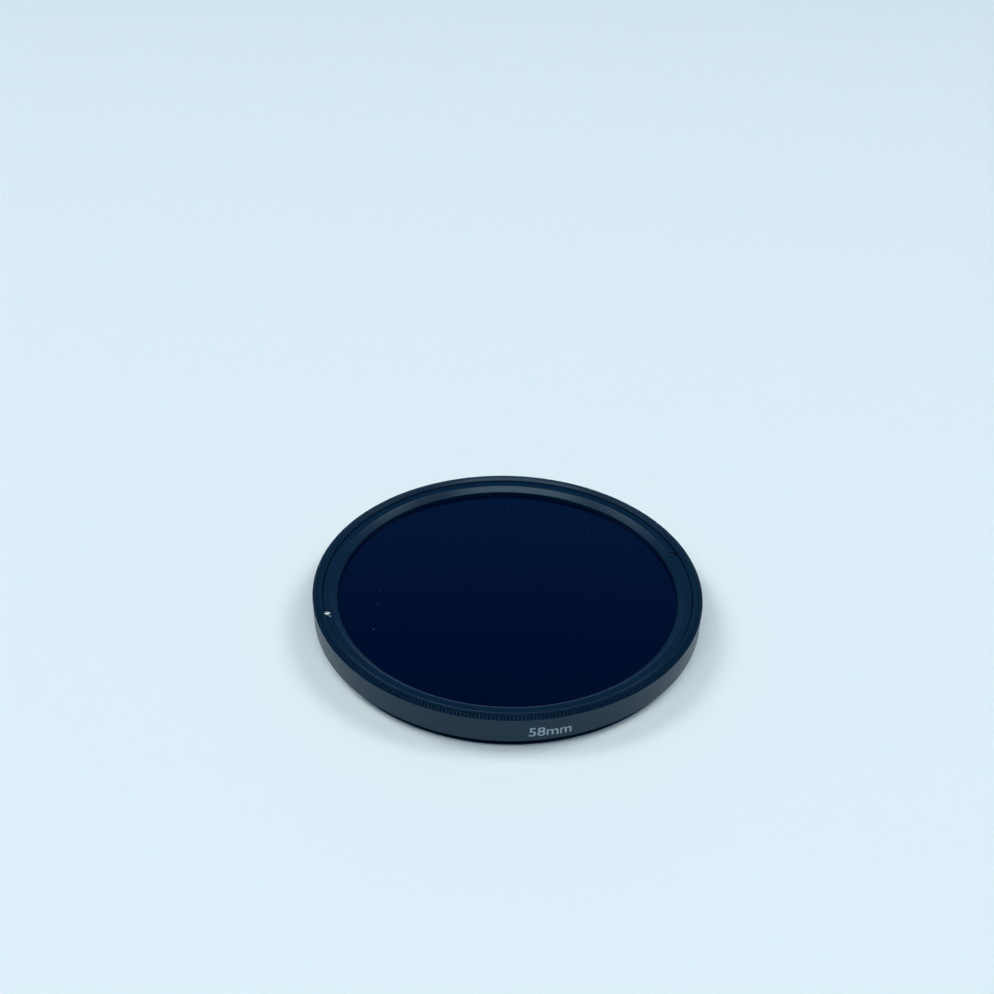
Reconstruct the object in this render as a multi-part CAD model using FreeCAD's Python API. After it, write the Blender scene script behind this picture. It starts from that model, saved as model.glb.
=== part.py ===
import FreeCAD
import Part
import math
import os

# Screw-in infrared filter for a camera lens: a turned frame, a glass disc and the ring that holds the glass.
# Millimetres, +Z towards the scene, origin on the filter's axis at the rear end of its male thread.

# Rear male thread, drawn at its major diameter; the filter's other diameters follow from it
thread_diameter = 57.9
thread_length = 2.0
thread_lead = 0.3
relief_width = 0.4
relief_depth = 0.55

# Frame
flange_height = 4.2
flange_overhang = 1.05
flange_wall = 1.45
shoulder_chamfer = 0.12
skirt_wall = 1.75
lip_thickness = 0.8

# Glass disc: its pocket's shelf under the retaining ring, and how far its edge is covered
glass_thickness = 1.8
glass_bevel = 0.15
glass_shelf = 0.75
glass_clearance = 0.1
glass_overlap = 1.4

# Retaining ring, drawn at its major diameter in a threaded pocket
ring_thickness = 1.45
ring_recess = 0.5
ring_bevel = 0.9
ring_edge = 0.2
ring_clearance = 0.05
pocket_runout = 0.15

# Spanner slots across the retaining ring
slot_count = 2
slot_width = 1.05
slot_depth = 0.4
slot_angle = 17.2

# Serrations: V-shaped teeth round the rim's outer corner, leaning in above a fine step in the wall
tooth_count = 360
tooth_depth = 0.49
tooth_height = 0.37
tooth_lean = 0.37
tooth_step = 0.05

# Heights
shoulder_z = thread_length
rim_z = shoulder_z + flange_height
tooth_foot_z = rim_z - tooth_height
ring_top_z = rim_z - ring_recess
glass_top_z = ring_top_z - ring_thickness
glass_bottom_z = glass_top_z - glass_thickness
lip_bottom_z = glass_bottom_z - lip_thickness
pocket_floor_z = glass_top_z - pocket_runout

# Radii, from the thread outwards and then inwards
thread_radius = thread_diameter / 2
relief_radius = thread_radius - relief_depth
skirt_radius = thread_radius - skirt_wall
frame_radius = thread_radius + flange_overhang
crest_foot_radius = frame_radius - tooth_step
crest_top_radius = crest_foot_radius - tooth_lean
ring_pocket_radius = frame_radius - flange_wall
ring_radius = ring_pocket_radius - ring_clearance
glass_pocket_radius = ring_pocket_radius - glass_shelf
glass_radius = glass_pocket_radius - glass_clearance
aperture_radius = glass_radius - glass_overlap

AXIS = FreeCAD.Vector(0, 0, 1)
ORIGIN = FreeCAD.Vector(0, 0, 0)
FULL_TURN = 360.0


def flat_face(points):
    """Plane face inside a closed outline of points."""
    return Part.Face(Part.makePolygon(points + points[:1]))


def turned(profile):
    """Solid turned about +Z from a closed outline of (radius, height) points."""
    points = [FreeCAD.Vector(radius, 0, height) for radius, height in profile]
    return flat_face(points).revolve(ORIGIN, AXIS, FULL_TURN)


def spread_round(shape, count, first_angle):
    """Compound of count copies of a shape, evenly spaced about +Z."""
    copies = []
    for index in range(count):
        copy = shape.copy()
        copy.rotate(ORIGIN, AXIS, first_angle + index * FULL_TURN / count)
        copies.append(copy)
    return Part.makeCompound(copies)


def tooth_outline(crest_radius, height):
    """Points of the toothed outline at one height, with crests and roots in turn."""
    # The root is the same share of the crest at every height, which keeps each tooth's sides flat.
    root_radius = crest_radius * (1 - tooth_depth / crest_top_radius)
    half_pitch = math.pi / tooth_count
    points = []
    for index in range(tooth_count):
        crest_angle = 2 * index * half_pitch
        root_angle = crest_angle + half_pitch
        for radius, angle in ((crest_radius, crest_angle), (root_radius, root_angle)):
            points.append(FreeCAD.Vector(radius * math.cos(angle), radius * math.sin(angle), height))
    return points


def serrated_rim():
    """Toothed ring above the step in the wall, open for the retaining ring's pocket."""
    foot = tooth_outline(crest_foot_radius, tooth_foot_z)
    top = tooth_outline(crest_top_radius, rim_z)
    faces = [flat_face(foot), flat_face(top)]
    for index in range(len(foot)):
        faces.append(flat_face([foot[index - 1], foot[index], top[index], top[index - 1]]))
    shell = Part.makeShell(faces)
    shell.sewShape()
    pocket = Part.makeCylinder(ring_pocket_radius, rim_z, FreeCAD.Vector(0, 0, shoulder_z))
    return Part.makeSolid(shell).cut(pocket)


def filter_frame():
    """Flanged ring with a rear thread, a seat for the glass, a threaded pocket and a serrated rim."""
    body = turned([
        (skirt_radius, 0),
        (thread_radius - thread_lead, 0),
        (thread_radius, thread_lead),
        (thread_radius, shoulder_z - relief_width),
        (relief_radius, shoulder_z - relief_width),
        (relief_radius, shoulder_z),
        (frame_radius - shoulder_chamfer, shoulder_z),
        (frame_radius, shoulder_z + shoulder_chamfer),
        (frame_radius, tooth_foot_z),
        (ring_pocket_radius, tooth_foot_z),
        (ring_pocket_radius, pocket_floor_z),
        (glass_pocket_radius, pocket_floor_z),
        (glass_pocket_radius, glass_bottom_z),
        (aperture_radius, glass_bottom_z),
        (aperture_radius, lip_bottom_z),
        (skirt_radius, lip_bottom_z),
    ])
    return body.fuse(serrated_rim()).removeSplitter().Solids[0]


def infrared_glass():
    """Flat disc with ground bevels on both edges, seated on the frame's lip."""
    return turned([
        (0, glass_bottom_z),
        (glass_radius - glass_bevel, glass_bottom_z),
        (glass_radius, glass_bottom_z + glass_bevel),
        (glass_radius, glass_top_z - glass_bevel),
        (glass_radius - glass_bevel, glass_top_z),
        (0, glass_top_z),
    ])


def retaining_ring():
    """Ring screwed down on the glass, bevelled towards the light path and slotted for a spanner."""
    blank = turned([
        (aperture_radius, glass_top_z),
        (ring_radius, glass_top_z),
        (ring_radius, ring_top_z - ring_edge),
        (ring_radius - ring_edge, ring_top_z),
        (aperture_radius + ring_bevel, ring_top_z),
        (aperture_radius, ring_top_z - ring_bevel),
    ])
    slot = Part.makeBox(
        frame_radius,
        slot_width,
        flange_height,
        FreeCAD.Vector(0, -slot_width / 2, ring_top_z - slot_depth),
    )
    return blank.cut(spread_round(slot, slot_count, slot_angle)).Solids[0]


os.makedirs("parts", exist_ok=True)
for make_piece in (filter_frame, infrared_glass, retaining_ring):
    make_piece().exportStep("parts/" + make_piece.__name__ + ".step")
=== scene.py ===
import logging
import math
from dataclasses import dataclass
from enum import Enum
from typing import Callable, Dict, List, Optional, Sequence, Tuple, Union

import bpy
from mathutils import Matrix, Vector


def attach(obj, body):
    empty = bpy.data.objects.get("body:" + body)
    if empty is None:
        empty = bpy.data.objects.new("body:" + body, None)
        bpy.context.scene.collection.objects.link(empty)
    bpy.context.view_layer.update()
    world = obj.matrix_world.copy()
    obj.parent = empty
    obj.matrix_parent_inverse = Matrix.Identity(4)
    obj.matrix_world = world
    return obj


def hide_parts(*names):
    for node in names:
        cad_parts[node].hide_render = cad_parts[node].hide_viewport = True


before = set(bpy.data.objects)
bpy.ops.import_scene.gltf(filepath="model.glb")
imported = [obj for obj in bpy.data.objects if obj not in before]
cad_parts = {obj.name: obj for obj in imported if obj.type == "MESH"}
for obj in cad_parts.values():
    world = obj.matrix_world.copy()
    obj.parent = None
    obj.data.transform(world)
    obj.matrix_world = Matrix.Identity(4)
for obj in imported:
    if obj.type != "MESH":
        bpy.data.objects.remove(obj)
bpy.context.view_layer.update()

MM = 0.001
# Millimetres, and shares of a tooth's pitch, by which places may differ and still count as the same
NEAR = 0.005
NEAR_SHARE = 0.01
MERGE_DISTANCE = 0.0005
NOISE_MEAN = 0.5
BODY = "root"

Colour = Tuple[float, float, float, float]
Place = Tuple[float, float, float]
Corner = Tuple[float, float]
Extent = Tuple[float, float]
Outline = List[Corner]

log = logging.getLogger("infrared_filter")


class Slot(Enum):
    """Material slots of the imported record."""

    ANODISED = "black_anodised"
    GLASS = "infrared_glass"


class Spread(Enum):
    """How specks of dust are scattered."""

    LEVEL_FACE = "2D"
    ALL_ROUND = "3D"


class Cut(Enum):
    """What a cutting tool leaves of a piece."""

    OUTSIDE = "DIFFERENCE"
    INSIDE = "INTERSECT"


class Value:
    """Output socket of a shader node that takes part in Python arithmetic."""

    def __init__(self, graph: "Graph", socket: bpy.types.NodeSocket) -> None:
        """Keeps the graph that the socket belongs to."""
        self.graph = graph
        self.socket = socket

    def _math(self, operation: str, *inputs: "Input") -> "Value":
        """Adds one Math node.

        Args:
            operation: The Math node's operation.
            inputs: Its inputs in order, as numbers or values.

        Returns:
            The node's result.
        """
        return self.graph.node("ShaderNodeMath", {"operation": operation}, dict(enumerate(inputs)))

    def __add__(self, other: "Input") -> "Value":
        """Sum with a number or value."""
        return self._math("ADD", self, other)

    def __radd__(self, other: "Input") -> "Value":
        """Sum with a number on the left."""
        return self._math("ADD", other, self)

    def __sub__(self, other: "Input") -> "Value":
        """Difference from a number or value."""
        return self._math("SUBTRACT", self, other)

    def __rsub__(self, other: "Input") -> "Value":
        """Difference with a number on the left."""
        return self._math("SUBTRACT", other, self)

    def __mul__(self, other: "Input") -> "Value":
        """Product with a number or value."""
        return self._math("MULTIPLY", self, other)

    def __rmul__(self, other: "Input") -> "Value":
        """Product with a number on the left."""
        return self._math("MULTIPLY", other, self)

    def __truediv__(self, other: "Input") -> "Value":
        """Quotient by a number or value."""
        return self._math("DIVIDE", self, other)

    def __rtruediv__(self, other: "Input") -> "Value":
        """Quotient with a number on top."""
        return self._math("DIVIDE", other, self)

    def __pow__(self, exponent: "Input") -> "Value":
        """Power of the value."""
        return self._math("POWER", self, exponent)

    def __rpow__(self, base: "Input") -> "Value":
        """Power of a number, with the value as exponent."""
        return self._math("POWER", base, self)

    def __lt__(self, limit: "Input") -> "Value":
        """One where the value is below the limit, and zero elsewhere."""
        return self._math("LESS_THAN", self, limit)

    def __gt__(self, limit: "Input") -> "Value":
        """One where the value is above the limit, and zero elsewhere."""
        return self._math("GREATER_THAN", self, limit)

    def ramp(self, low: float, high: float) -> "Value":
        """Smooth step from zero at low to one at high."""
        return self.graph.node(
            "ShaderNodeMapRange",
            {"interpolation_type": "SMOOTHSTEP"},
            {"Value": self, "From Min": low, "From Max": high},
        )


Input = Union[Value, float, Sequence[float]]


class Graph:
    """Node tree of one material or of the world."""

    def __init__(self, tree: bpy.types.NodeTree) -> None:
        """Starts from an empty tree."""
        self.tree = tree
        tree.nodes.clear()

    def node(
        self,
        kind: str,
        settings: Optional[Dict[str, object]] = None,
        sockets: Optional[Dict[Union[str, int], Input]] = None,
        output: Optional[Union[str, int]] = 0,
    ) -> Optional[Value]:
        """Adds a node.

        Args:
            kind: The node's type name.
            settings: Properties of the node, which are set first.
            sockets: Numbers, colours or values for its input sockets.
            output: The output socket that is wanted, if any.

        Returns:
            The wanted output.
        """
        made = self.tree.nodes.new(kind)
        for name, setting in (settings or {}).items():
            setattr(made, name, setting)
        for name, value in (sockets or {}).items():
            if isinstance(value, Value):
                self.tree.links.new(value.socket, made.inputs[name])
            else:
                made.inputs[name].default_value = value
        return None if output is None else Value(self, made.outputs[output])

    def pick(self, value: Value, output: str) -> Value:
        """Another output of the node that a value comes from."""
        return Value(self, value.socket.node.outputs[output])

    def blend(self, factor: Input, low: Input, high: Input) -> Value:
        """Colour mix.

        Args:
            factor: Zero for low, one for high.
            low: Colour or value at zero.
            high: Colour or value at one.

        Returns:
            The mixed colour.
        """
        return self.node("ShaderNodeMix", {"data_type": "RGBA"}, {0: factor, 6: low, 7: high}, 2)

    def millimetres(self) -> Value:
        """Object coordinates in millimetres."""
        place = self.node("ShaderNodeTexCoord", output="Object")
        return self.node(
            "ShaderNodeVectorMath",
            {"operation": "SCALE"},
            {0: place, "Scale": 1 / MM},
        )

    def noise(self, place: Value, scale: float, detail: float = 2.0) -> Value:
        """Noise from about zero to one, with that many cells per unit of place."""
        return self.node(
            "ShaderNodeTexNoise",
            sockets={"Vector": place, "Scale": scale, "Detail": detail},
        )

    def specks(self, place: Value, dust: "Dust") -> Value:
        """Mask of scattered specks.

        Args:
            place: Position in millimetres.
            dust: How the specks are scattered.

        Returns:
            One on a speck, zero elsewhere.
        """
        cell = self.node(
            "ShaderNodeTexVoronoi",
            {"voronoi_dimensions": dust.spread.value},
            {"Vector": place, "Scale": dust.scale},
        )
        chance = self.node("ShaderNodeSeparateColor", sockets={0: self.pick(cell, "Color")})
        size = self.pick(chance, "Green") * dust.radius
        return (chance < dust.share) * (cell < size)

    def surface(self, settings: Dict[Union[str, int], Input]) -> None:
        """Ends the tree in a Principled surface with those sockets."""
        shader = self.node("ShaderNodeBsdfPrincipled", sockets=settings)
        self.node("ShaderNodeOutputMaterial", sockets={"Surface": shader}, output=None)


def material(name: str) -> Tuple[bpy.types.Material, Graph]:
    """New node material and its graph."""
    made = bpy.data.materials.new(name)
    made.use_nodes = True
    return made, Graph(made.node_tree)


@dataclass(frozen=True)
class Dust:
    """Scattered specks: cells per millimetre, share of cells that hold one, largest radius in cells."""

    scale: float
    share: float
    radius: float
    spread: Spread = Spread.ALL_ROUND


@dataclass(frozen=True)
class SlipMark:
    """Metal that a slipped spanner has bared in and beside one slot, in millimetres from the slot's line."""

    slot_angle: float = 197.2
    face_height: float = 5.66
    gouge_place: Corner = (28.12, -0.4)
    gouge_size: Extent = (0.42, 0.34)
    gouge_edge: Extent = (0.7, 1.0)
    scratch_place: Corner = (27.92, 0.72)
    scratch_direction: Corner = (0.55, 0.83)
    scratch_size: Extent = (0.36, 0.15)
    scratch_edge: Extent = (0.5, 1.0)
    scratch_ragged: float = 0.5
    ragged_scale: float = 5.0
    ragged_detail: float = 3.0
    ragged_depth: float = 0.35

    def mask(self, graph: Graph, place: Value) -> Value:
        """Mask of the bare metal.

        Args:
            graph: The material's graph.
            place: Position in millimetres.

        Returns:
            One on bare metal, zero elsewhere.
        """
        turn = math.radians(self.slot_angle)
        axes = graph.node("ShaderNodeSeparateXYZ", sockets={0: place})
        across, height = graph.pick(axes, "Y"), graph.pick(axes, "Z")
        along = axes * math.cos(turn) + across * math.sin(turn)
        aside = across * math.cos(turn) - axes * math.sin(turn)
        noise = graph.noise(place, self.ragged_scale, self.ragged_detail)
        ragged = self.ragged_depth * (noise - NOISE_MEAN)
        gouge_out = along - self.gouge_place[0] + ragged
        gouge_aside = aside - self.gouge_place[1]
        gouge = (gouge_out / self.gouge_size[0]) ** 2 + (gouge_aside / self.gouge_size[1]) ** 2
        inside = (height < self.face_height) * (1 - gouge.ramp(*self.gouge_edge))
        out = along - self.scratch_place[0]
        off = aside - self.scratch_place[1]
        lean, run = self.scratch_direction
        length = run * off - lean * out
        width = run * out + lean * off + self.scratch_ragged * ragged
        scratch = (length / self.scratch_size[0]) ** 2 + (width / self.scratch_size[1]) ** 2
        beside = (height > self.face_height) * (1 - scratch.ramp(*self.scratch_edge))
        return inside + beside


@dataclass(frozen=True)
class AnodisedFinish:
    """Satin black anodised aluminium with turning marks, and bare metal where a tool has slipped."""

    name: str
    slip: Optional[SlipMark] = None
    colour: Colour = (0.0003, 0.0098, 0.0265, 1.0)
    worn_colour: Colour = (0.001, 0.0138, 0.035, 1.0)
    dust_colour: Colour = (0.1, 0.14, 0.18, 1.0)
    bare_colour: Colour = (0.62, 0.65, 0.66, 1.0)
    tint: Colour = (0.5, 0.77, 0.93, 1.0)
    dust: Dust = Dust(0.9, 0.05, 0.06)
    roughness: float = 0.34
    grain_roughness: float = 0.12
    dust_roughness: float = 0.1
    bare_roughness: float = 0.08
    specular: float = 0.4
    turning_marks: float = 9.0
    grain_scale: float = 7.0
    handling_scale: float = 0.16
    handling_edge: Extent = (0.35, 0.75)
    handling_wear: float = 0.35
    grain_wear: float = 0.25
    mark_share: float = 0.6
    relief_strength: float = 0.25
    relief_depth: float = 0.00002

    def make(self) -> bpy.types.Material:
        """Builds the material."""
        made, graph = material(self.name)
        place = graph.millimetres()
        axes = graph.node("ShaderNodeSeparateXYZ", sockets={0: place})
        across, height = graph.pick(axes, "Y"), graph.pick(axes, "Z")
        radius = (axes * axes + across * across) ** 0.5
        turned = graph.node("ShaderNodeCombineXYZ", sockets={"X": radius, "Y": height})
        marks = graph.noise(turned, self.turning_marks, detail=3.0)
        grain = graph.noise(place, self.grain_scale, detail=4.0)
        handling = graph.noise(place, self.handling_scale, detail=3.0).ramp(*self.handling_edge)
        dust = graph.specks(place, self.dust)
        wear = handling * self.handling_wear + grain * self.grain_wear
        tone = graph.blend(dust, graph.blend(wear, self.colour, self.worn_colour), self.dust_colour)
        relief = marks * self.mark_share + grain * (1 - self.mark_share)
        bump = graph.node(
            "ShaderNodeBump",
            sockets={"Strength": self.relief_strength, "Distance": self.relief_depth, "Height": relief},
        )
        rough = self.roughness + self.grain_roughness * (grain - NOISE_MEAN) + self.dust_roughness * dust
        settings = {
            "Base Color": tone,
            "Roughness": rough,
            "Specular IOR Level": self.specular,
            "Specular Tint": self.tint,
            "Normal": bump,
        }
        if self.slip is not None:
            bare = self.slip.mask(graph, place)
            settings["Base Color"] = graph.blend(bare, tone, self.bare_colour)
            settings["Metallic"] = bare
            settings["Roughness"] = rough + self.bare_roughness * bare
        graph.surface(settings)
        return made


@dataclass(frozen=True)
class GlassFinish:
    """Polished glass that is near-black to the eye, with faint wiping marks and a few specks of dust."""

    name: str = "near_black_glass"
    colour: Colour = (0.0001, 0.0015, 0.014, 1.0)
    dust_colour: Colour = (0.022, 0.028, 0.065, 1.0)
    tint: Colour = (0.05, 0.45, 1.0, 1.0)
    dust: Dust = Dust(0.3, 0.07, 0.05, Spread.LEVEL_FACE)
    roughness: float = 0.05
    wiped_roughness: float = 0.05
    dust_roughness: float = 0.4
    specular: float = 0.5
    wiping_scale: float = 0.09
    wiping_edge: Extent = (0.4, 0.7)

    def make(self) -> bpy.types.Material:
        """Builds the material."""
        made, graph = material(self.name)
        place = graph.millimetres()
        wiped = graph.noise(place, self.wiping_scale, detail=4.0).ramp(*self.wiping_edge)
        dust = graph.specks(place, self.dust)
        graph.surface({
            "Base Color": graph.blend(dust, self.colour, self.dust_colour),
            "Roughness": self.roughness + self.wiped_roughness * wiped + self.dust_roughness * dust,
            "Specular IOR Level": self.specular,
            "Specular Tint": self.tint,
        })
        return made


@dataclass(frozen=True)
class PrintFinish:
    """Pale printed paint, slightly uneven."""

    name: str = "pale_print"
    colour: Colour = (0.3, 0.37, 0.41, 1.0)
    thin_colour: Colour = (0.2, 0.26, 0.3, 1.0)
    roughness: float = 0.55
    cover_roughness: float = 0.1
    cover_scale: float = 9.0
    cover_edge: Extent = (0.35, 0.6)

    def make(self) -> bpy.types.Material:
        """Builds the material."""
        made, graph = material(self.name)
        cover = graph.noise(graph.millimetres(), self.cover_scale, detail=3.0).ramp(*self.cover_edge)
        graph.surface({
            "Base Color": graph.blend(cover, self.thin_colour, self.colour),
            "Roughness": self.roughness + self.cover_roughness * cover,
        })
        return made


@dataclass(frozen=True)
class FloorFinish:
    """Plain pale studio floor."""

    name: str = "pale_floor"
    colour: Colour = (0.82, 0.9, 0.88, 1.0)
    roughness: float = 0.9
    specular: float = 0.1

    def make(self) -> bpy.types.Material:
        """Builds the material."""
        made, graph = material(self.name)
        graph.surface({
            "Base Color": self.colour,
            "Roughness": self.roughness,
            "Specular IOR Level": self.specular,
        })
        return made


def start_piece() -> None:
    """Leaves edit mode and deselects everything."""
    if bpy.context.object is not None and bpy.context.object.mode != "OBJECT":
        bpy.ops.object.mode_set(mode="OBJECT")
    bpy.ops.object.select_all(action="DESELECT")


def select_points(piece: bpy.types.Object, wanted: Callable[[Vector], bool]) -> None:
    """Selects the points of a mesh in edit mode by their place.

    Args:
        piece: The object in edit mode.
        wanted: True for the place of a point to select, in metres.
    """
    bpy.ops.mesh.select_mode(type="VERT")
    bpy.ops.mesh.select_all(action="DESELECT")
    bpy.ops.object.mode_set(mode="OBJECT")
    for vertex in piece.data.vertices:
        vertex.select = wanted(vertex.co)
    bpy.ops.object.mode_set(mode="EDIT")


def select_edges(piece: bpy.types.Object, wanted: Callable[[List[Vector]], bool]) -> None:
    """Selects the edges of a mesh in edit mode by the places of their ends.

    Args:
        piece: The object in edit mode.
        wanted: True for the two ends of an edge to select, in metres.
    """
    bpy.ops.mesh.select_mode(type="EDGE")
    bpy.ops.mesh.select_all(action="DESELECT")
    bpy.ops.object.mode_set(mode="OBJECT")
    points = piece.data.vertices
    for edge in piece.data.edges:
        edge.select = wanted([points[index].co for index in edge.vertices])
    bpy.ops.object.mode_set(mode="EDIT")


def draw_outline(name: str, outline: Outline) -> bpy.types.Object:
    """Draws a closed outline over +X by extruding it corner by corner.

    Args:
        name: The new object's name.
        outline: Corners as (radius, height) in millimetres.

    Returns:
        The object, in edit mode with the outline's edges selected.
    """
    start_piece()
    bpy.ops.mesh.primitive_plane_add(size=MM, location=(0, 0, 0))
    piece = bpy.context.object
    piece.name = name
    bpy.ops.object.mode_set(mode="EDIT")
    bpy.ops.mesh.select_mode(type="VERT")
    bpy.ops.mesh.select_all(action="SELECT")
    bpy.ops.mesh.merge(type="CENTER")
    last = (0.0, 0.0)
    for index, corner in enumerate(outline):
        move = ((corner[0] - last[0]) * MM, 0, (corner[1] - last[1]) * MM)
        if index == 0:
            bpy.ops.transform.translate(value=move)
        else:
            bpy.ops.mesh.extrude_vertices_move(TRANSFORM_OT_translate={"value": move})
        last = corner
    bpy.ops.mesh.select_all(action="SELECT")
    bpy.ops.mesh.edge_face_add()
    bpy.ops.mesh.delete(type="ONLY_FACE")
    bpy.ops.mesh.select_all(action="SELECT")
    return piece


def close_mesh() -> None:
    """Merges the doubled points of the mesh in edit mode and turns its faces outwards."""
    bpy.ops.mesh.select_all(action="SELECT")
    bpy.ops.mesh.remove_doubles(threshold=MERGE_DISTANCE * MM)
    bpy.ops.mesh.normals_make_consistent(inside=False)


def turn_outline(name: str, outline: Outline, steps: int) -> bpy.types.Object:
    """Spins a closed outline into a closed ring.

    Args:
        name: The new object's name.
        outline: Corners as (radius, height) in millimetres.
        steps: Number of steps round the axis.

    Returns:
        The object, in edit mode.
    """
    piece = draw_outline(name, outline)
    bpy.ops.mesh.spin(steps=steps, angle=2 * math.pi, center=(0, 0, 0), axis=(0, 0, 1))
    close_mesh()
    return piece


def apply_modifier(piece: bpy.types.Object, kind: str, settings: Dict[str, object]) -> None:
    """Adds a modifier and applies it.

    Args:
        piece: The object, in object mode.
        kind: The modifier's type.
        settings: Its properties.
    """
    bpy.context.view_layer.objects.active = piece
    modifier = piece.modifiers.new(kind.lower(), kind)
    for name, setting in settings.items():
        setattr(modifier, name, setting)
    bpy.ops.object.modifier_apply(modifier=modifier.name)


def cut_with(piece: bpy.types.Object, tool: bpy.types.Object, kept: Cut) -> None:
    """Cuts a piece with a tool by a boolean and removes the tool.

    Args:
        piece: The object that is cut, in object mode.
        tool: The cutting object.
        kept: The side of the tool whose part of the piece is kept.
    """
    apply_modifier(piece, "BOOLEAN", {"operation": kept.value, "solver": "EXACT", "object": tool})
    bpy.data.objects.remove(tool)


def weigh_normals(piece: bpy.types.Object) -> None:
    """Keeps flat faces flat in shading beside their small rounded edges.

    The modifier passes over faces that are small in metres, so the mesh is held in millimetres meanwhile.

    Args:
        piece: The selected object, at the origin.
    """
    for factor in (1 / MM, MM):
        piece.scale = (factor, factor, factor)
        bpy.ops.object.transform_apply(location=False, rotation=False, scale=True)
        if factor > 1:
            apply_modifier(piece, "WEIGHTED_NORMAL", {"keep_sharp": True})


def finish_piece(
    piece: bpy.types.Object,
    finish: bpy.types.Material,
    slot: Optional[Slot],
    stands_for: Sequence[str] = (),
    smooth_angle: float = 30.0,
) -> bpy.types.Object:
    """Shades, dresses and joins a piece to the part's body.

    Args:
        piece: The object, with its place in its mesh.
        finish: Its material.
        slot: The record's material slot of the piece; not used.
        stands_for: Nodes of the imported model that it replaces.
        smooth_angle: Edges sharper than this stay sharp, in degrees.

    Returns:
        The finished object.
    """
    start_piece()
    piece.select_set(True)
    bpy.context.view_layer.objects.active = piece
    bpy.ops.object.shade_smooth_by_angle(angle=math.radians(smooth_angle))
    weigh_normals(piece)
    piece.data.materials.clear()
    piece.data.materials.append(finish)
    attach(piece, BODY)
    if stands_for:
        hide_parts(*stands_for)
    log.info("%s: %d faces", piece.name, len(piece.data.polygons))
    return piece


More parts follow.
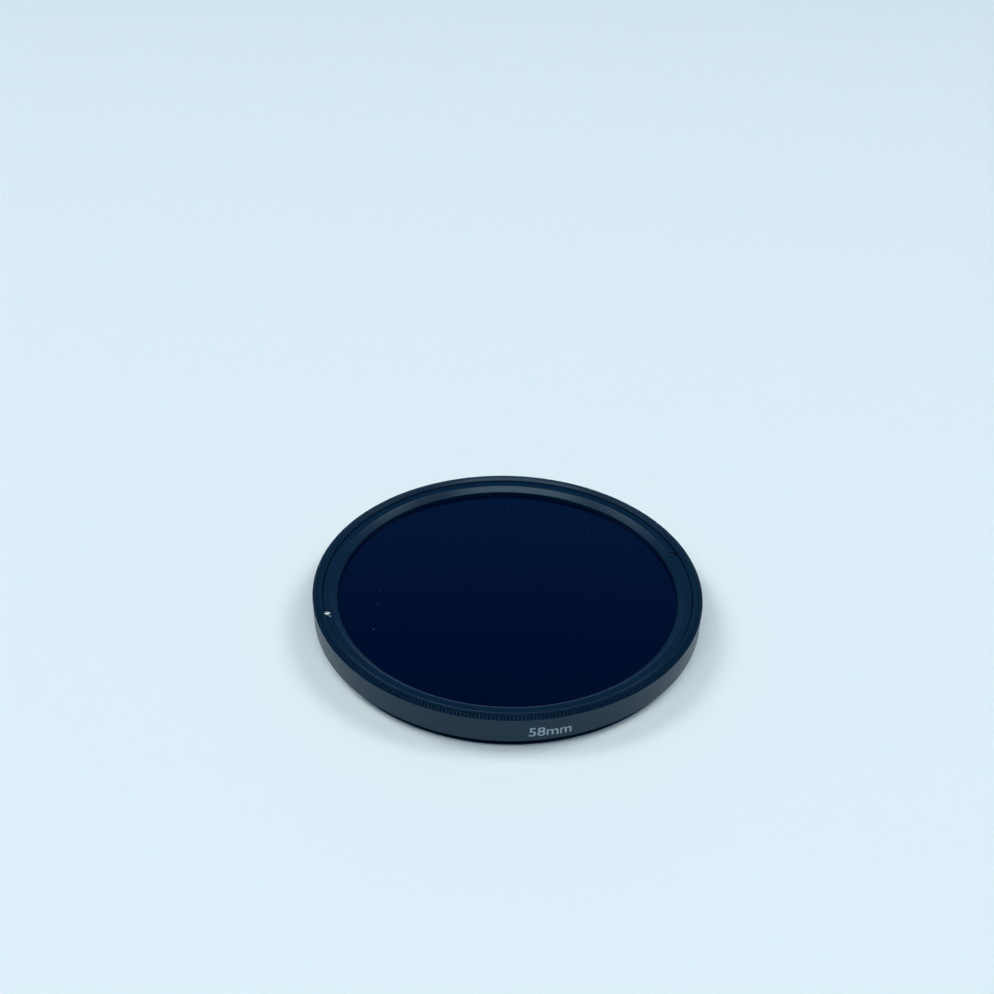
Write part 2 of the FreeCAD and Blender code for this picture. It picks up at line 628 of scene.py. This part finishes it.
@dataclass
class FilterFrame:
    """Turned frame with a serrated rim, in millimetres."""

    radius: float = 30.0
    shoulder: float = 2.0
    rim: float = 6.2
    wall_edge: float = 0.12
    wall_round: Extent = (0.03, 0.05)
    core_radius: float = 28.46
    core_lead: float = 0.18
    relief_radius: float = 28.4
    relief_bottom: float = 1.6
    skirt_radius: float = 27.2
    lip_bottom: float = 1.65
    lip_top: float = 2.45
    aperture_radius: float = 26.3
    glass_pocket_radius: float = 27.8
    pocket_floor: float = 4.1
    pocket_radius: float = 28.55
    edge: float = 0.06
    pocket_lead: Extent = (0.35, 0.4)
    pocket_crest: float = 0.025
    pocket_round: Extent = (0.01, 0.015)
    teeth: int = 360
    tooth_start: float = 29.05
    crest_top: Corner = (29.52, 6.2)
    crest_shoulder: Corner = (29.64, 6.15)
    crest_foot: Corner = (29.95, 5.84)
    ledge: Corner = (29.99, 5.83)
    tooth_end: float = 5.82
    root_top: Corner = (29.09, 6.2)
    root_shoulder: Corner = (29.14, 6.15)
    root_foot: Corner = (29.46, 5.84)
    crest_share: float = 0.14
    flank_share: float = 0.4

    def outline(self) -> Outline:
        """Section of the frame, up the outside and down the inside."""
        edge = self.edge
        lead = self.pocket_radius + self.pocket_lead[0]
        return [
            (self.skirt_radius + edge, 0.0),
            (self.core_radius - self.core_lead, 0.0),
            (self.core_radius, self.core_lead),
            (self.core_radius, self.relief_bottom),
            (self.relief_radius, self.relief_bottom + edge),
            (self.relief_radius, self.shoulder - edge),
            (self.relief_radius + edge, self.shoulder),
            (self.radius - self.wall_edge, self.shoulder),
            (self.radius - self.wall_round[0], self.shoulder + self.wall_round[1]),
            (self.radius, self.shoulder + self.wall_edge),
            (self.radius, self.tooth_end),
            self.ledge,
            self.crest_foot,
            self.crest_shoulder,
            self.crest_top,
            (self.tooth_start, self.rim),
            (lead + self.pocket_crest, self.rim),
            (lead - self.pocket_round[0], self.rim - self.pocket_round[1]),
            (self.pocket_radius, self.rim - self.pocket_lead[1]),
            (self.pocket_radius, self.pocket_floor),
            (self.glass_pocket_radius, self.pocket_floor),
            (self.glass_pocket_radius, self.lip_top),
            (self.aperture_radius + edge, self.lip_top),
            (self.aperture_radius, self.lip_top - edge),
            (self.aperture_radius, self.lip_bottom + edge),
            (self.aperture_radius + edge, self.lip_bottom),
            (self.skirt_radius, self.lip_bottom),
            (self.skirt_radius, edge),
        ]

    def share_of_pitch(self, place: Vector) -> float:
        """How far round a tooth's sector a point lies, from zero to one."""
        return abs(math.atan2(place.y, place.x)) * self.teeth / (2 * math.pi)

    def press_roots(self, piece: bpy.types.Object, crest: Corner, root: Corner) -> None:
        """Presses the groove's two columns of one row of points in from the crest to the root.

        Args:
            piece: One tooth's sector of the frame, in edit mode.
            crest: Radius and height of the row as turned.
            root: Radius and height of the groove's root.
        """
        columns = (self.crest_share + self.flank_share, 1 - self.flank_share)
        near = NEAR * MM

        def wanted(place: Vector) -> bool:
            """True for a point of the row in a root column."""
            if abs(place.z - crest[1] * MM) > near or abs(place.xy.length - crest[0] * MM) > near:
                return False
            return min(abs(self.share_of_pitch(place) - column) for column in columns) < NEAR_SHARE

        select_points(piece, wanted)
        share = root[0] / crest[0]
        bpy.ops.transform.resize(value=(share, share, 1), center_override=(0, 0, 0))
        bpy.ops.transform.translate(value=(0, 0, (root[1] - crest[1]) * MM))

    def clear_columns(self, piece: bpy.types.Object) -> None:
        """Takes the tooth's inner columns out of the faces that lie away from the teeth.

        Args:
            piece: One tooth's sector of the frame, in edit mode.
        """
        start, end = (self.tooth_start - NEAR) * MM, (self.tooth_end - NEAR) * MM

        def plain(ends: List[Vector]) -> bool:
            """True for an edge of an inner column that doesn't bound two faces of a tooth."""
            shares = [self.share_of_pitch(place) for place in ends]
            if abs(shares[0] - shares[1]) > NEAR_SHARE or not NEAR_SHARE < shares[0] < 1 - NEAR_SHARE:
                return False
            return not all(place.z > end and place.xy.length > start for place in ends)

        select_edges(piece, plain)
        bpy.ops.mesh.dissolve_edges(use_verts=True)

    def build(self, finish: bpy.types.Material) -> bpy.types.Object:
        """Turns one tooth's sector, cuts its groove and copies it round the axis.

        Args:
            finish: The frame's material.

        Returns:
            The finished piece.
        """
        pitch = 2 * math.pi / self.teeth
        groove_share = 1 - self.crest_share - 2 * self.flank_share
        piece = draw_outline("filter_frame_turned", self.outline())
        for share in (self.crest_share, self.flank_share, groove_share, self.flank_share):
            bpy.ops.mesh.spin(steps=1, angle=share * pitch, center=(0, 0, 0), axis=(0, 0, 1))
        self.press_roots(piece, self.crest_foot, self.root_foot)
        self.press_roots(piece, self.crest_shoulder, self.root_shoulder)
        self.press_roots(piece, self.crest_top, self.root_top)
        self.clear_columns(piece)
        bpy.ops.mesh.select_all(action="SELECT")
        bpy.ops.mesh.spin(
            steps=self.teeth - 1,
            dupli=True,
            angle=(self.teeth - 1) * pitch,
            center=(0, 0, 0),
            axis=(0, 0, 1),
        )
        close_mesh()
        return finish_piece(piece, finish, Slot.ANODISED, ["filter_frame"])


@dataclass
class RearThread:
    """Helical ridge of the rear male thread, in millimetres."""

    crest_radius: float = 28.94
    core_radius: float = 28.46
    sunk: float = 0.06
    pitch: float = 0.75
    crest_width: float = 0.1
    turns: int = 4
    steps: int = 240
    bottom: float = 0.02
    top: float = 1.58
    lead: float = 0.3
    root_width: float = 0.04
    spare: float = 0.01

    def build(self, finish: bpy.types.Material) -> bpy.types.Object:
        """Winds the ridge and trims it to the thread's length and lead.

        Args:
            finish: The frame's material.

        Returns:
            The finished piece.
        """
        foot = self.core_radius - self.sunk
        ridge = [
            (foot, -self.pitch + self.root_width / 2),
            (self.crest_radius, -(self.pitch + self.crest_width) / 2),
            (self.crest_radius, -(self.pitch - self.crest_width) / 2),
            (foot, -self.root_width / 2),
        ]
        piece = draw_outline("rear_thread", ridge)
        bpy.ops.object.mode_set(mode="OBJECT")
        apply_modifier(piece, "SCREW", {
            "axis": "Z",
            "angle": 2 * math.pi,
            "screw_offset": self.pitch * MM,
            "iterations": self.turns,
            "steps": self.steps,
            "render_steps": self.steps,
            "use_smooth_shade": False,
        })
        bpy.ops.object.mode_set(mode="EDIT")
        bpy.ops.mesh.select_all(action="SELECT")
        bpy.ops.mesh.fill_holes(sides=0)
        bpy.ops.mesh.select_all(action="SELECT")
        bpy.ops.mesh.normals_make_consistent(inside=False)
        envelope = turn_outline("thread_envelope", [
            (foot - self.sunk, self.bottom),
            (self.crest_radius - self.lead, self.bottom),
            (self.crest_radius + self.spare, self.bottom + self.lead),
            (self.crest_radius + self.spare, self.top),
            (foot - self.sunk, self.top),
        ], self.steps)
        bpy.ops.object.mode_set(mode="OBJECT")
        cut_with(piece, envelope, Cut.INSIDE)
        return finish_piece(piece, finish, Slot.ANODISED)


@dataclass
class RetainingRing:
    """Slotted ring that holds the glass, in millimetres."""

    bottom: float = 4.25
    top: float = 5.7
    radius: float = 28.5
    bore_radius: float = 26.3
    bevel: float = 0.9
    outer_edge: Tuple[Corner, ...] = ((0.0, -0.13), (-0.1, -0.03), (-0.15, 0.0))
    upper_crest: Tuple[Corner, ...] = ((0.24, 0.0), (0.012, -0.06), (-0.12, -0.156))
    lower_crest: Tuple[Corner, ...] = ((0.084, 0.06), (0.018, -0.012), (0.0, -0.084))
    slot_width: float = 1.05
    slot_floor: float = 5.3
    slot_corner: float = 0.24
    slot_corner_steps: int = 6
    slot_angles: Tuple[float, float] = (17.2, 197.2)
    steps: int = 720

    def outline(self) -> Outline:
        """Section of the ring, with three corners eased by points that are given from the sharp corner."""
        section = [(self.bore_radius, self.bottom), (self.radius, self.bottom)]
        for radius, height, eased in (
            (self.radius, self.top, self.outer_edge),
            (self.bore_radius + self.bevel, self.top, self.upper_crest),
            (self.bore_radius, self.top - self.bevel, self.lower_crest),
        ):
            section += [(radius + out, height + up) for out, up in eased]
        return section

    def slot_tool(self, angle: float) -> bpy.types.Object:
        """Block that cuts one spanner slot.

        Args:
            angle: The slot's place round the axis, in degrees.

        Returns:
            The block, placed over the ring.
        """
        start_piece()
        depth = 2 * (self.top - self.slot_floor)
        reach = 2 * (self.radius - self.bore_radius)
        middle = (self.radius + self.bore_radius) / 2
        bpy.ops.mesh.primitive_cube_add(
            size=1,
            location=(middle * MM, 0, (self.slot_floor + depth / 2) * MM),
            scale=(reach * MM, self.slot_width * MM, depth * MM),
        )
        bpy.ops.object.transform_apply(location=True, rotation=True, scale=True)
        tool = bpy.context.object
        bpy.ops.object.mode_set(mode="EDIT")
        floor = self.slot_floor * MM

        def lower_long(ends: List[Vector]) -> bool:
            """True for an edge along the slot at its floor."""
            low = all(abs(end.z - floor) < NEAR * MM for end in ends)
            return low and abs(ends[0].x - ends[1].x) > NEAR * MM

        select_edges(tool, lower_long)
        bpy.ops.mesh.bevel(
            offset=self.slot_corner * MM,
            segments=self.slot_corner_steps,
            affect="EDGES",
        )
        bpy.ops.object.mode_set(mode="OBJECT")
        tool.rotation_euler = (0, 0, math.radians(angle))
        bpy.ops.object.transform_apply(rotation=True)
        return tool

    def build(self, finish: bpy.types.Material) -> bpy.types.Object:
        """Turns the ring and cuts its slots.

        Args:
            finish: The ring's material.

        Returns:
            The finished piece.
        """
        piece = turn_outline("retaining_ring_turned", self.outline(), self.steps)
        bpy.ops.object.mode_set(mode="OBJECT")
        for angle in self.slot_angles:
            cut_with(piece, self.slot_tool(angle), Cut.OUTSIDE)
        return finish_piece(piece, finish, Slot.ANODISED, ["retaining_ring"])


@dataclass
class GlassDisc:
    """Flat disc with ground edges, in millimetres."""

    radius: float = 27.7
    bottom: float = 2.45
    top: float = 4.25
    edge: float = 0.15
    edge_steps: int = 2
    steps: int = 360

    def build(self, finish: bpy.types.Material) -> bpy.types.Object:
        """Adds the disc and bevels its edges.

        Args:
            finish: The glass's material.

        Returns:
            The finished piece.
        """
        start_piece()
        bpy.ops.mesh.primitive_cylinder_add(
            vertices=self.steps,
            radius=self.radius * MM,
            depth=(self.top - self.bottom) * MM,
            location=(0, 0, (self.top + self.bottom) / 2 * MM),
        )
        bpy.ops.object.transform_apply(location=True)
        piece = bpy.context.object
        piece.name = "infrared_glass_polished"
        bpy.ops.object.mode_set(mode="EDIT")
        select_edges(piece, lambda ends: abs(ends[0].z - ends[1].z) < NEAR * MM)
        bpy.ops.mesh.bevel(offset=self.edge * MM, segments=self.edge_steps, affect="EDGES")
        return finish_piece(piece, finish, Slot.GLASS, ["infrared_glass"])


@dataclass
class SizeMark:
    """Thread size printed on the wall, in millimetres."""

    words: str = "58mm"
    wall_radius: float = 30.0
    height: float = 1.6
    middle: float = 3.61
    angle: float = 11.56
    width: float = 6.0
    boldness: float = 0.008
    stand_off: float = 0.2
    merge_distance: float = 0.001
    paint: float = 0.012

    def build(self, finish: bpy.types.Material, wall: bpy.types.Object) -> bpy.types.Object:
        """Sets the words, makes them a mesh and lays them on the wall.

        Args:
            finish: The print's material.
            wall: The frame that carries the print.

        Returns:
            The finished piece.
        """
        start_piece()
        bpy.ops.object.text_add(location=(0, 0, 0))
        piece = bpy.context.object
        piece.name = "size_mark"
        piece.data.body = self.words
        piece.data.align_x = "CENTER"
        piece.data.align_y = "CENTER"
        piece.data.offset = self.boldness
        bpy.ops.object.convert(target="MESH")
        piece = bpy.context.object
        low = [min(v.co[i] for v in piece.data.vertices) for i in range(2)]
        high = [max(v.co[i] for v in piece.data.vertices) for i in range(2)]
        bpy.ops.object.mode_set(mode="EDIT")
        bpy.ops.mesh.select_all(action="SELECT")
        bpy.ops.transform.translate(value=(-(low[0] + high[0]) / 2, -(low[1] + high[1]) / 2, 0))
        share = (self.width / (high[0] - low[0]) * MM, self.height / (high[1] - low[1]) * MM, 1)
        bpy.ops.transform.resize(value=share, center_override=(0, 0, 0))
        bpy.ops.mesh.remove_doubles(threshold=self.merge_distance * MM)
        bpy.ops.object.mode_set(mode="OBJECT")
        turn = math.radians(self.angle)
        reach = self.wall_radius + self.stand_off
        piece.rotation_euler = (math.pi / 2, 0, turn)
        piece.location = (reach * math.sin(turn) * MM, -reach * math.cos(turn) * MM, self.middle * MM)
        bpy.ops.object.transform_apply(location=True, rotation=True, scale=True)
        apply_modifier(piece, "SHRINKWRAP", {
            "target": wall,
            "wrap_method": "NEAREST_SURFACEPOINT",
            "wrap_mode": "ABOVE_SURFACE",
            "offset": self.paint * MM,
        })
        apply_modifier(piece, "SOLIDIFY", {"thickness": self.paint * MM, "offset": -1.0})
        return finish_piece(piece, finish, None)


@dataclass(frozen=True)
class SoftLight:
    """Oblong soft light that faces the part, in metres and watts."""

    name: str
    place: Place
    size: Extent
    power: float

    def build(self) -> None:
        """Adds the light."""
        start_piece()
        bpy.ops.object.light_add(type="AREA", location=self.place)
        lamp = bpy.context.object
        lamp.name = self.name
        lamp.data.shape = "RECTANGLE"
        lamp.data.size, lamp.data.size_y = self.size
        lamp.data.energy = self.power
        lamp.rotation_mode = "QUATERNION"
        lamp.rotation_quaternion = (-Vector(self.place)).to_track_quat("-Z", "Y")


@dataclass
class Studio:
    """Floor, soft lights and the camera at the photograph's viewing angle, in metres."""

    floor_size: float = 4.0
    lights: Tuple[SoftLight, ...] = (
        SoftLight("front_light", (-0.12, -1.05, 1.9), (2.2, 0.5), 24.5),
        SoftLight("left_light", (-1.38, 0.3, 1.85), (0.9, 0.9), 16.0),
        SoftLight("right_light", (1.38, 0.3, 1.85), (0.9, 0.9), 16.0),
        SoftLight("back_light", (0.1, 2.5, 0.6), (0.6, 0.25), 1.4),
    )
    lens: float = 42.736
    sensor_width: float = 36.0
    clip_start: float = 0.005
    camera_place: Place = (-0.001941, -0.14389, 0.119731)
    camera_right: Place = (0.999765, 0.012184, 0.017884)
    camera_up: Place = (-0.02164, 0.562899, 0.826238)
    camera_back: Place = (0.0, -0.82644, 0.56303)
    horizon_colour: Colour = (0.1, 0.28, 0.45, 1.0)
    sky_colour: Colour = (0.02, 0.17, 0.38, 1.0)
    zenith_colour: Colour = (0.025, 0.075, 0.13, 1.0)
    sky_band: Extent = (0.0, 0.5)
    zenith_band: Extent = (0.48, 0.74)

    def floor(self) -> None:
        """Lays the floor under the part."""
        start_piece()
        bpy.ops.mesh.primitive_plane_add(size=self.floor_size, location=(0, 0, 0))
        plane = bpy.context.object
        plane.name = "studio_floor"
        plane.data.materials.append(FloorFinish().make())

    def world(self) -> None:
        """Gives the world a soft light, pale at the horizon and darker overhead."""
        world = bpy.data.worlds.new("studio_world")
        bpy.context.scene.world = world
        world.use_nodes = True
        graph = Graph(world.node_tree)
        direction = graph.node("ShaderNodeTexCoord", output="Generated")
        up = graph.pick(graph.node("ShaderNodeSeparateXYZ", sockets={0: direction}), "Z")
        low_sky = graph.blend(up.ramp(*self.sky_band), self.horizon_colour, self.sky_colour)
        sky = graph.blend(up.ramp(*self.zenith_band), low_sky, self.zenith_colour)
        glow = graph.node("ShaderNodeBackground", sockets={"Color": sky})
        graph.node("ShaderNodeOutputWorld", sockets={"Surface": glow}, output=None)

    def camera(self) -> None:
        """Sets the camera where the photograph was taken."""
        start_piece()
        bpy.ops.object.camera_add()
        camera = bpy.context.object
        camera.name = "photo_camera"
        camera.data.lens = self.lens
        camera.data.sensor_width = self.sensor_width
        camera.data.sensor_fit = "HORIZONTAL"
        camera.data.clip_start = self.clip_start
        axes = [self.camera_right, self.camera_up, self.camera_back, self.camera_place]
        rows = [[axis[row] for axis in axes] for row in range(3)]
        camera.matrix_world = Matrix(rows + [[0, 0, 0, 1]])
        bpy.context.scene.camera = camera

    def build(self) -> None:
        """Sets up the whole studio."""
        self.floor()
        self.world()
        for light in self.lights:
            light.build()
        self.camera()
        bpy.context.scene.view_settings.view_transform = "Standard"


def main() -> None:
    """Builds the filter piece by piece, then the studio round it."""
    logging.basicConfig(level=logging.INFO, format="%(name)s %(message)s")
    frame_finish = AnodisedFinish("anodised_frame").make()
    ring_finish = AnodisedFinish("anodised_ring", SlipMark()).make()
    wall = FilterFrame().build(frame_finish)
    RearThread().build(frame_finish)
    RetainingRing().build(ring_finish)
    GlassDisc().build(GlassFinish().make())
    SizeMark().build(PrintFinish().make(), wall)
    Studio().build()


if __name__ == "__main__":
    main()
